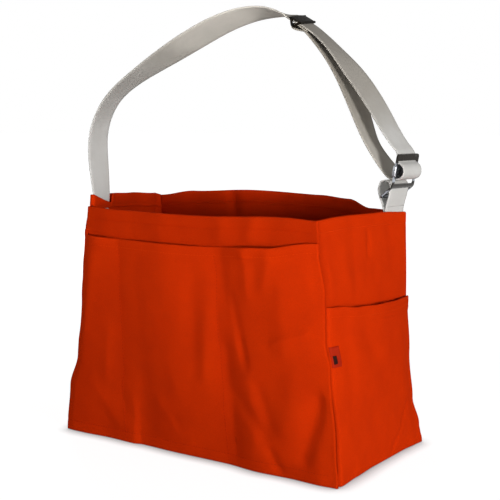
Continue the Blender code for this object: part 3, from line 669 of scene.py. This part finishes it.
def end_wall(wall, count):
    """Outer face of an end wall up to its plain rim."""
    def place(along, value):
        rim = rim_height(wall, along) - 0.6 * MM
        height = foot_height + (rim - foot_height) * value
        return wall_place(wall, along, height, pucker(height, rim - hem_line))
    return [[place(along, value) for along in column_shares(wall, value, count)] for value in spread(0, 1, count)]


def end_hem(wall, root, room, dip, columns, low_start, end):
    """Face of an end wall's hem that looks at the wall; it stands off round the strap's sewn end. The last two
    are where it starts, low down, and where it ends."""
    length = wall_line(wall, 1)[2]
    grid = []
    for value in spread(0, 1, 12):
        row = []
        start = low_start - (0.016 * ease(0.1, 0.35, value) if dip else 0)
        for along in spread(start, end, columns):
            away = abs(along - root) * length - web_width / 2 - (0.3 * MM if along < root else 2 * MM)
            bulge = room * (1 - ease(0, (2.0 if along < root and dip else 16) * MM, away))
            lower = 0
            if dip and away < 0:
                lower = dip * clamp((along - start) * length / web_width)
            rim = rim_height(wall, along) - 0.4 * MM
            height = rim - hem_depth * (1 - value) - lower * value
            close = 0.3 * MM * value
            out = -(wall_cloth + 0.7 * MM + bulge) + close - pucker(height, rim - hem_line)
            row.append(wall_place(wall, along, height, out))
        grid.append(row)
    return grid


for wall, count in (("left", 70), ("right", 80)):
    face = end_wall(wall, count)
    sheet(wall + "_end_wall", face, wall_cloth, outside(wall), canvas, (wall + "_end_panel",), count)
hem_faces = {}
for wall, *shape in (
    ("left", left_along, 2.8 * MM, hem_dip, 100, 0.026, 0.972),
    ("right", right_along, 5.2 * MM, 0, 90, 0.026, 0.982),
):
    face = hem_faces[wall] = end_hem(wall, *shape)
    sheet(wall + "_end_rim_hem", face, hem_cloth, outside(wall), inside_shade_cloth, (wall + "_end_hem",))

reach_x = bag_length / 2 - 2.7 * MM
reach_y = bag_depth / 2 - 2.7 * MM
floor_rows = [
    [
        Vector((
            reach_x * u + min(0, read_table(foot_wobble["right"], (v + 1) / 2)) * MM * max(0, u) ** 3,
            reach_y * v - min(0, read_table(foot_wobble["front"], (u + 1) / 2)) * MM * max(0, -v) ** 3,
            0.15 * MM,
        ))
        for u in spread(-1, 1, 60)
    ]
    for v in spread(-1, 1, 40)
]
sheet("floor_panel", floor_rows, -1.6 * MM, Vector((0, 0, -1)), canvas, ("bottom_panel",))


# ---- front pocket
divider_low = (0.255, 0.645)
divider_high = (0.15, 0.593)
bay_swell = (3.2 * MM, 5.2 * MM, 8.5 * MM)
bay_bend = (0.55, 1.1, 1.25)
pocket_cloth = 1.4 * MM
pocket_fold = 1.5 * MM
pocket_line = 11.5 * MM
pocket_hem = 12 * MM
foot_line = 14 * MM


def pocket_top(along):
    """Height of the front pocket's edge."""
    curl = 7.0 * MM * (1 - ease(0.004, 0.012, along))
    return rim_height("front", along) - edge_drop(along) + curl


def pocket_out(along, height):
    """How far the pocket's outer face stands from the wall."""
    top = pocket_top(along)
    share = height / rim_height("front", along)
    seams = [0.0] + [low + (high - low) * share for low, high in zip(divider_low, divider_high)] + [1.0]
    bay = min(2, sum(along > seam for seam in seams[1:3]))
    inside = clamp((along - seams[bay]) / (seams[bay + 1] - seams[bay]))
    arch = 1 - abs(2 * inside ** bay_bend[bay] - 1) ** 2.2
    lift = bay_swell[bay] * arch * min(1, height / top) ** 0.55
    doubled = 1.5 * MM * ease(top - 22 * MM, top - 12 * MM, height)
    start, ahead, length, _ = wall_line("front", share, False)
    x = (start.x + ahead.x * length * along) / MM
    slack = 3.0 * hump(x, gape_right, 22) + 2.4 * hump(x, gape_left, 16)
    mouth = slack * MM * ease(top - 22 * MM, top, height)
    seam = ease(-0.004, 0.03, along)
    flat = 0.7 * MM + pocket_cloth * seam + doubled * seam
    return flat + lift + mouth + pucker(height, top - pocket_line) + pucker(height, foot_line)


def pocket_place(along, height, out=0.0):
    """Point on the front pocket's outer face."""
    return wall_place("front", along, height, pocket_out(along, height) + out, "pocket")


def folded_pocket(wall, kind, top_share, rows, columns, top_of, out_of):
    """Outer face of a pocket whose edge is folded in, near top_share."""
    grid = []
    for step, value in fold_steps(rows, 5):
        line = []
        for along in column_shares(wall, (value if step == "up" else 1) * top_share, columns):
            top = top_of(along) - pocket_fold
            if step == "up":
                height = foot_height + (top - foot_height) * value
                out = out_of(along, height)
            elif step == "arc":
                height = top + pocket_fold * sin(value)
                out = out_of(along, top) + pocket_fold * (cos(value) - 1)
            else:
                height = top - pocket_hem * value
                out = out_of(along, top) - 2 * pocket_fold
            line.append(wall_place(wall, along, height, out, kind))
        grid.append(line)
    return grid


pocket_rows = folded_pocket("front", "pocket", 1 - pocket_drop / bag_height, 100, 170, pocket_top, pocket_out)
sheet("front_pocket_cloth", pocket_rows, pocket_cloth, outside("front"), canvas, ("front_pocket",))


# ---- end pocket and tab
end_pocket_edge = ((0, 0.2135), (0.1, 0.2125), (0.3, 0.207), (0.55, 0.2035), (0.8, 0.2012), (1, 0.2008))


def end_pocket_top(along):
    """Height of the end pocket's edge."""
    return read_table(end_pocket_edge, clamp(along))


def end_pocket_out(along, height):
    """How far the end pocket's outer face stands from the wall."""
    top = end_pocket_top(along)
    arch = 1 - abs(2 * clamp(along) - 1) ** 2.4
    lift = 8.0 * MM * arch * min(1, height / top) ** 0.55
    doubled = 1.7 * MM * ease(top - 22 * MM, top - 12 * MM, height)
    return 0.7 * MM + pocket_cloth + lift + doubled + pucker(height, top - pocket_line) + pucker(height, 13 * MM)


def end_pocket_place(along, height, out=0.0):
    """Point on the end pocket's outer face."""
    return wall_place("right", along, height, end_pocket_out(along, height) + out, "end_pocket")


end_rows = folded_pocket("right", "end_pocket", 0.65, 76, 90, end_pocket_top, end_pocket_out)
sheet("end_pocket_cloth", end_rows, pocket_cloth, outside("right"), canvas, ("end_pocket",))

tab_start = end_margin("right", 0.5) + 0.0015 / wall_line("right", 0.5)[2]
tab_length = 0.0155 / wall_line("right", 0.5)[2]


def tab_patch(low, high, start, end, count, out):
    """A small patch over the end pocket's cloth; start and end are shares of the tab."""
    across = spread(tab_start + tab_length * start, tab_start + tab_length * end, count)
    return [[end_pocket_place(along, height, out) for along in across] for height in spread(low, high, count)]


tab = tab_patch(0.1425, 0.166, 0, 1, 12, 0.85 * MM)
sheet("seam_tab", tab, 0.6 * MM, outside("right"), label_cloth, ("label_tab",))
block = tab_patch(0.1465, 0.156, 0.12, 0.52, 6, 1.0 * MM)
sheet("seam_tab_block", block, 0.25 * MM, outside("right"), block_cloth)


# ---- stitches on the canvas
def line_on(place, start, end, count):
    """Spots with normals along a line; place gives the point for a share and an outward step."""
    return [(place(s, 0.0), (place(s, 1 * MM) - place(s, 0.0)).normalized()) for s in spread(start, end, count)]


for wall, start, end, inside in (
    ("front", 0.01, 0.99, False), ("right", 0.03, 0.97, False), ("back", 0.01, 0.99, False),
    ("left", 0.03, 0.97, False), ("front", 0.02, 0.98, True), ("back", 0.04, 0.92, True),
):
    face, way = (-2 * rim_fold + 0.25 * MM, -1) if inside else (-0.25 * MM, 1)
    spots = line_on(
        lambda s, o: wall_place(wall, s, rim_height(wall, s) - hem_line, face + way * o), start, end, 160)
    # the front rim row takes the same canvas painted darker as shade
    thread = thread_inside if inside else front_shaded_canvas if wall == "front" else thread_light
    stitch(wall + "_rim_stitches" + "_inside" * inside, spots, thread)


for wall in ("left", "right"):
    row = hem_faces[wall][2]
    spots = []
    for k, p in enumerate(row):
        n = chord(row, k).cross(Vector((0, 0, 1))).normalized()
        if n.dot(bag_middle - p) < 0:
            n = -n
        spots.append((p + n * (hem_cloth - 0.1 * MM), n))
    stitch(wall + "_hem_stitches", spots, thread_inside)

stitch("front_pocket_edge_stitches", line_on(
    lambda s, o: pocket_place(s, pocket_top(s) - pocket_line, o - 0.1 * MM), 0.01, 0.99, 200), thread_light)
stitch("end_pocket_edge_stitches", line_on(
    lambda s, o: end_pocket_place(s, end_pocket_top(s) - pocket_line, o - 0.1 * MM), 0.03, 0.97, 120), thread_light)
stitch("front_foot_stitches", line_on(
    lambda s, o: pocket_place(s, foot_line, o - 0.1 * MM), 0.01, 0.99, 200), thread_painted_shade)
# a dark thread row standing in for the shadow in the corner seam
seam_along = (wall_cloth + 2.9 * MM) / wall_line("right", 0.2)[2]
stitch("corner_seam_shadow_stitches", line_on(
    lambda s, o: wall_place("right", seam_along, (10 + 100 * s) * MM, o + 1.0 * MM), 0, 1, 60),
    seam_shadow_thread, length=4.3 * MM, radius=0.75 * MM)
for index, (low, high) in enumerate(zip(divider_low, divider_high), 1):
    def on_divider(s, o, side=0.0):
        """Point on a divider's seam."""
        height = 4 * MM + (pocket_top(high) - 10 * MM) * s
        share = height / rim_height("front", high)
        return pocket_place(low + (high - low) * share + side, height, o - 0.05 * MM)
    stitch("divider_stitches_%d" % index, line_on(on_divider, 0, 1, 120), thread_painted_shade)
    stitch("divider_tack_%d" % index, line_on(
        lambda s, o: on_divider(0.965 + 0.03 * s, o, 0.004 * (1 if s > 0.5 else -1)), 0, 1, 6), thread_light)


# ---- webbing
def wall_stand(wall, along, height, out):
    """Point near a wall on its plain shape, without creases."""
    share = height / rim_height(wall, along)
    start, ahead, length, outward = wall_line(wall, share)
    swell, rim_bow = walls[wall][3:]
    bow = sin(pi * along) * (swell * sin(pi * share) + rim_bow * share)
    spot = start + ahead * length * along + outward * (bow + out)
    return Vector((spot.x, spot.y, height))


def wall_across(wall, along, share):
    """Level direction of a wall's face over the width of the webbing."""
    reach = web_width / 2 / wall_line(wall, share)[2]
    height = share * rim_height(wall, along)
    run = wall_stand(wall, along + reach, height, 0) - wall_stand(wall, along - reach, height, 0)
    return Vector((run.x, run.y, 0)).normalized()


strap_height = 0.2575
arch_left = (
    (0.0, 0.115, -13), (-0.008, 0.22, -16), (-0.0116, 0.36, -15), (-0.0048, 0.41, -12), (0.0213, 0.52, -10),
    (0.0669, 0.61, -10), (0.13, 0.685, -15), (0.1988, 0.755, -23), (0.2715, 0.825, -30), (0.3491, 0.895, -32),
    (0.4296, 0.957, -28), (0.514, 0.996, -20), (0.5876, 0.9995, -10),
)
arch_right = ((0.8388, 0.689, 26), (0.8883, 0.58, 27), (0.929, 0.472, 26), (0.9678, 0.362, 22))
return_run = ((0.768, 0.775, 18), (0.8127, 0.659, 24), (0.8475, 0.539, 26), (0.8776, 0.41, 21), (0.9018, 0.318, 15))
arc_start_heading, arc_sweep, arc_roll = -25.0, 21.0, 11.0
slide_place, slide_skew = 4.4, radians(6)
frame_bend, frame_top = Vector((0.0135, 0.034)), Vector((0.0213, 0.0755))
grip_share = (0.054 - frame_bend.y) / (frame_top.y - frame_bend.y)
grip_spot = frame_bend.lerp(frame_top, grip_share)
rail_up = (frame_top - frame_bend).normalized()
rail_out = Vector((rail_up.y, -rail_up.x))
grip_turn = 0.0105

# the webbing's middle behind the wall's outer face: CAD cloth, gap, turned edge, half the webbing
left_stand = 0.0018 + 0.0003 + 0.0005 + web_thick / 2
left_root = wall_stand("left", left_along, rim_height("left", left_along), -left_stand)
left_across = wall_across("left", left_along, 1)
right_stand = left_stand + (web_thick + web_gap) / 2
right_root = wall_stand("right", right_along, rim_height("right", right_along), -right_stand)
right_across = wall_across("right", right_along, 1)
right_out = Vector((right_across.y, -right_across.x, 0))


def buckle_spot(out, up):
    """Point by outward and upward distance from the chape's root."""
    return right_root + right_out * out + Vector((0, 0, up))


def buckle_station(out, up):
    """Station of the webbing there."""
    return buckle_spot(out, up), right_across


arch_base = Vector((left_root.x, left_root.y, bag_height))
arch_end = buckle_spot(grip_spot.x, 0)
arch_along = Vector((arch_end.x - arch_base.x, arch_end.y - arch_base.y, 0)).normalized()
arch_side = Vector((-arch_along.y, arch_along.x, 0))
strap_run = (arch_end - arch_base).length
arc_radius = strap_run * 0.408


def arch_point(run, rise):
    """Point in the arch's plane."""
    return arch_base + arch_along * run + Vector((0, 0, rise))


def rolled(ahead, roll):
    """Width direction of the webbing for a heading and a roll in degrees."""
    turn = radians(roll)
    return arch_side * cos(turn) + ahead.cross(arch_side) * sin(turn)


def arch_stations(rows):
    """Stations from (run, rise, roll) shares."""
    points = [arch_point(run * strap_run, rise * strap_height) for run, rise, _ in rows]
    return [(point, rolled(chord(points, k).normalized(), rows[k][2])) for k, point in enumerate(points)]


start_heading = radians(arc_start_heading)
arc_centre = arch_point(
    strap_run * 0.6433 + arc_radius * sin(start_heading),
    strap_height * 0.9728 - arc_radius * cos(start_heading),
)


def arc_station(angle, offset=0.0):
    """Point, width and travel on the circular stretch, moved out by offset."""
    heading = radians(arc_start_heading - angle)
    radial = arch_along * -sin(heading) + Vector((0, 0, cos(heading)))
    ahead = arch_along * cos(heading) + Vector((0, 0, sin(heading)))
    across = rolled(ahead, arc_roll)
    out = ahead.cross(across)
    if out.z < 0:
        out = -out
    return arc_centre + radial * arc_radius + out * offset, across, ahead


def turn_station(angle):
    """Station where the webbing turns round the grip bar."""
    angle = radians(angle)
    return buckle_station(grip_spot.x + grip_turn * cos(angle), grip_spot.y + grip_turn * sin(angle))


# the long webbing, from the left root to behind the grip bar
rise = arch_stations([(0, (left_root.z - bag_height) / strap_height, arch_left[0][2]), *arch_left[1:]])
rise[0] = (rise[0][0], left_across)
arc = [arc_station(angle)[:2] for angle in spread(0, arc_sweep, 10)]
behind = web_thick / 2 + 0.001 + 0.0006
top_bar = 0.0085
down = [
    frame_top - rail_out * (behind * 2.4) + rail_up * web_thick * 1.5,
    frame_top - rail_up * top_bar / 2 - rail_out * behind * 1.05,
    frame_top - rail_up * top_bar - rail_up * web_thick * 0.6 - rail_out * behind * 0.62,
]
shoulder_path = rise + arc + arch_stations(arch_right) + [buckle_station(*spot) for spot in down]
shoulder_path += [turn_station(angle) for angle in spread(62, -98, 8)]


def slide_station(along, lift):
    """Station under the slide, which sits a little askew: centre and width direction."""
    run, side = along * cos(slide_skew), -along * sin(slide_skew)
    centre, across, ahead = arc_station(slide_place + degrees(run / arc_radius), lift)
    return centre + across * side, across * cos(slide_skew) + ahead * sin(slide_skew)


bar_radius = 0.0017
bar_drop = web_thick + 0.0006 + web_thick / 2 + bar_radius + 0.00015
turn_radius = bar_radius + web_gap + web_thick / 2
tail_length = 0.020


# the webbing's end: its sewn tip, round the slide's centre bar, and down to the grip bar
upper_drop = web_thick + web_gap
lower_drop = 2 * web_thick + 0.0006
tail = [slide_station(along, -upper_drop) for along in (tail_length, 0.012, 0.005)]
for angle in spread(90, 270, 6):
    swing = radians(angle)
    tail.append(slide_station(turn_radius * cos(swing), turn_radius * sin(swing) - bar_drop))
for along, drop in (
    (0.006, bar_drop + turn_radius * 0.75), (0.013, lower_drop * 1.15), (tail_length * 1.07, lower_drop),
):
    tail.append(slide_station(along, -drop))
low = turn_station(-98)[0] - buckle_spot(0, 0)
back_run = arch_stations(return_run) + [
    buckle_station(-0.001, 0.0497), buckle_station(low.dot(right_out) * 0.5, low.z + web_thick * 0.45),
    turn_station(-98),
]


def even_path(stations, steps, step):
    """Even steps along a Catmull-Rom curve through stations."""
    dense = []
    for a, b, c, d in zip([stations[0]] + stations, stations, stations[1:], stations[2:] + [stations[-1]]):
        for t in [k / steps for k in range(steps)]:
            dense.append(tuple(
                (2 * q + (r - p) * t + (2 * p - 5 * q + 4 * r - s) * t * t + (3 * q - p - 3 * r + s) * t ** 3) / 2
                for p, q, r, s in zip(a, b, c, d)
            ))
    dense.append(stations[-1])
    run = run_lengths(dense)
    count = max(2, round(run[-1] / step))
    return stations_at(dense, run, [run[-1] * index / count for index in range(count + 1)])


def relax(stations, rounds, holds):
    """Even out a path's bends, but not near holds, given as (point, near, far)."""
    free = [prod(ease(near, far, (centre - spot).length) for spot, near, far in holds) for centre, _ in stations]
    for _ in range(rounds):
        inner = [
            tuple(p.lerp((o + q) / 2, 0.5 * free[k]) for o, p, q in zip(*stations[k - 1:k + 2]))
            for k in range(1, len(stations) - 1)
        ]
        stations = [stations[0], *inner, stations[-1]]
    return stations


def ribbon(name, stations, replaces, seed=0.0, wave=0.25 * MM, run=0.0, cloth=webbing_cloth):
    """Webbing through (centre, width direction) stations; run is its length so far."""
    half, edge = web_width / 2, web_thick / 2
    section = [(s * (half - edge), 1.0) for s in spread(-1, 1, 10)]
    section += [(half - edge * 0.35, 0.72), (half, 0.0), (half - edge * 0.35, -0.72)]
    section += [(-aside, -side) for aside, side in section]
    points, uvs, centres = [], [], [centre for centre, _ in stations]
    for index, (centre, across) in enumerate(stations):
        run += (centre - centres[max(0, index - 1)]).length
        across = across.normalized()
        normal = chord(centres, index).normalized().cross(across).normalized()
        fade = ease(0, 0.02, min(run, 1)) * (1 if index < len(stations) - 4 else 0)
        for aside, side in section:
            near_edge = ease(0.72, 0.98, abs(aside) / half)
            height = side * edge * (1 + 0.10 * near_edge * (abs(side) > 0.9))
            ripple = noise.noise(Vector((run * 28, aside * 40, 5.3 + seed))) * wave * fade
            points.append(centre + across * aside + normal * (height + ripple))
            uvs.append((aside + half, run))
    made = put(name, points, tube_faces(0, len(stations), len(section)), cloth, None, replaces, uvs)
    for cap in (-1, -2):
        made.data.polygons[cap].use_smooth = False
    return made


def sewn_rows(wall, along, rim, count, out):
    """Stations of a webbing's sewn end between wall and hem, up to the rim."""
    return [
        (wall_stand(wall, along, height, out), wall_across(wall, along, height / rim_height(wall, along)))
        for height in spread(rim - sewn_depth, rim - 0.004, count)
    ]


root_rows = sewn_rows("left", left_along, left_root.z, 6, -left_stand)
grip_centre = buckle_spot(grip_spot.x, grip_spot.y)
slide_centre = slide_station(0, 0)[0]
long_path = even_path(root_rows + shoulder_path, 10, 3 * MM)
low_root = left_root - Vector((0, 0, 0.045))
long_path = relax(long_path, 45, ((low_root, 0.048, 0.085), (slide_centre, 0.016, 0.036), (grip_centre, 0.03, 0.048)))
strap = ribbon("shoulder_webbing", long_path, ("strap_sewn_end", "strap_bend", "shoulder_strap"))
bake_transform(strap)

back_path = even_path(tail + back_run, 10, 2 * MM)
back_path = relax(back_path, 60, ((slide_centre, 0.03, 0.05), (grip_centre, 0.014, 0.032)))
inner = ribbon("return_webbing", back_path, ("return_strap", "tail_fold"), seed=9.0, cloth=shaded_webbing)
tuple(back_run[-2][0])
tuple(back_run[0][0])
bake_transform(inner)

layer = (web_thick + web_gap) / 2
loop_points = (
    (0.13, 0.07), (0.3, 0.26), (0.6, 0.5), (0.8, 0.74), (0.7, 0.92), (0.1, 1.0),
    (-0.66, 0.95), (-1.0, 0.74), (-0.8, 0.5), (-0.4, 0.26), (-0.13, 0.07),
)
loop_height = 0.0425 - web_thick / 2
loop = [(layer, 0.0)] + [(out * 0.01, up * loop_height) for out, up in loop_points] + [(-layer, 0.0)]
right_rim = rim_height("right", right_along)
up_tail, down_tail = (
    sewn_rows("right", right_along, right_rim, 5, -(right_stand - side * layer)) for side in (1, -1))
chape_path = even_path(up_tail + [buckle_station(*spot) for spot in loop] + down_tail[::-1], 8, 1.5 * MM)
loop_foot = 7 * MM
above = [k for k, (centre, _) in enumerate(chape_path) if centre.z > right_root.z + loop_foot]
first, last = above[0], above[-1]
for side, part in (("outer", chape_path[:first + 1]), ("inner", chape_path[last:])):
    piece = ribbon("chape_%s_webbing" % side, part, ("chape_%s_tail" % side,), wave=0)
    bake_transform(piece)
loop_piece = ribbon("chape_loop_webbing", chape_path[first:last + 1], ("chape_loop",), wave=0, run=first * 1.5 * MM)
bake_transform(loop_piece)


# ---- metal
for name, metal, width in (
    ("buckle_frame", plated_metal, 0.0007), ("grip_bar", zinc_metal, 0.0004), ("slide_frame", black_metal, 0),
):
    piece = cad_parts[name]
    piece.data.materials[0] = metal
    if width:
        rounding = piece.modifiers.new("rounding", "BEVEL")
        rounding.width = width
        rounding.segments = 3
        rounding.limit_method = "ANGLE"
        rounding.angle_limit = radians(50)


# ---- stage, light and camera
floor_reach, floor_level = 30, -0.0002
floor_mesh = bpy.data.meshes.new("floor")
floor_mesh.from_pydata(
    [(x * floor_reach, y * floor_reach, floor_level) for x, y in ((-1, -1), (1, -1), (1, 1), (-1, 1))],
    [], [(0, 1, 2, 3)])
floor = show("floor", floor_mesh)
# paper that lights the bag as a grey floor, and looks white to the camera but for the bag's contact shadow
floor_material, shader, _ = new_material("floor_paper")
tree = shader.id_data
feed(shader, Base_Color=(0.3, 0.315, 0.315), Roughness=0.9, Specular_IOR_Level=0.0)
path = node(tree, "LightPath").outputs
seen = larger(path["Is Camera Ray"], path["Is Glossy Ray"])
spot = node(tree, "NewGeometry").outputs["Position"]
reach = node(tree, "VectorMath", operation="LENGTH", Vector=spot)
level = ramp(reach.outputs["Value"], 0.45, 2.2, 0.91, 1.0)
near = node(tree, "AmbientOcclusion", samples=16, Distance=0.022)
contact = ramp(near.outputs["AO"], 0.35, 1.0, 0.25, 1.0)
glow = node(tree, "Emission", Strength=times(seen, times(level, contact)))
both = by_index(node(tree, "AddShader"), {0: shader.outputs[0], 1: glow.outputs[0]})
feed(tree.nodes["Material Output"], Surface=both[0])
floor_mesh.materials.append(floor_material)

# a dim sky that lights the bag, and looks white to the camera
world = bpy.data.worlds.new("studio")
bpy.context.scene.world = world
world.use_nodes = True
tree = world.node_tree
tree.nodes.clear()
path = node(tree, "LightPath").outputs
seen = larger(path["Is Camera Ray"], path["Is Transmission Ray"])
sky, white = (node(tree, "Background", Color=(1, 1, 1), Strength=power).outputs[0] for power in (0.17, 1.0))
share = larger(seen, times(path["Is Glossy Ray"], 0.6))
chosen = by_index(node(tree, "MixShader"), {0: share, 1: sky, 2: white})
node(tree, "OutputWorld", Surface=chosen[0])


def area_light(name, place, target, size, power, spread_angle):
    """A soft square lamp aimed at a point; size in m, power in W, spread in degrees."""
    lamp = bpy.data.lights.new(name, "AREA")
    lamp.shape = "SQUARE"
    lamp.size = size
    lamp.spread = radians(spread_angle)
    lamp.energy = power
    made = show(name, lamp)
    made.location = place
    made.rotation_euler = (Vector(target) - Vector(place)).to_track_quat("-Z", "Y").to_euler()


area_light("key", (2.9, -0.75, 0.42), (0, 0, 0.11), 0.8, 8.3, 60)
area_light("fill", (0.55, -2.9, 0.12), (0, 0, 0.1), 0.9, 7.2, 70)
area_light("lift", (0.9, -2.0, 0.06), (0.02, 0, 0.6), 0.4, 1.7, 34)
area_light("behind", (-2.2, 2.0, 0.5), (0, 0, 0.15), 1.0, 14, 90)

# the camera that was fitted to the photo
azimuth, elevation, distance = radians(35.33), radians(6.79), 1.448
target = Vector((0.01, 0, 0.258))
focal_pixels, photo_width, sensor_width = 1072.9, 500, 36
level = cos(elevation)
back = Vector((sin(azimuth) * level, -cos(azimuth) * level, sin(elevation)))
right = Vector((cos(azimuth), sin(azimuth), 0))
camera_data = bpy.data.cameras.new("camera")
camera_data.sensor_width = sensor_width
camera_data.lens = sensor_width * focal_pixels / photo_width
camera = show("camera", camera_data)
camera_matrix = Matrix((right, back.cross(right), back)).transposed().to_4x4()
camera_matrix.translation = target + back * distance
camera.matrix_world = camera_matrix
bpy.context.scene.camera = camera
bpy.context.scene.view_settings.view_transform = "Standard"
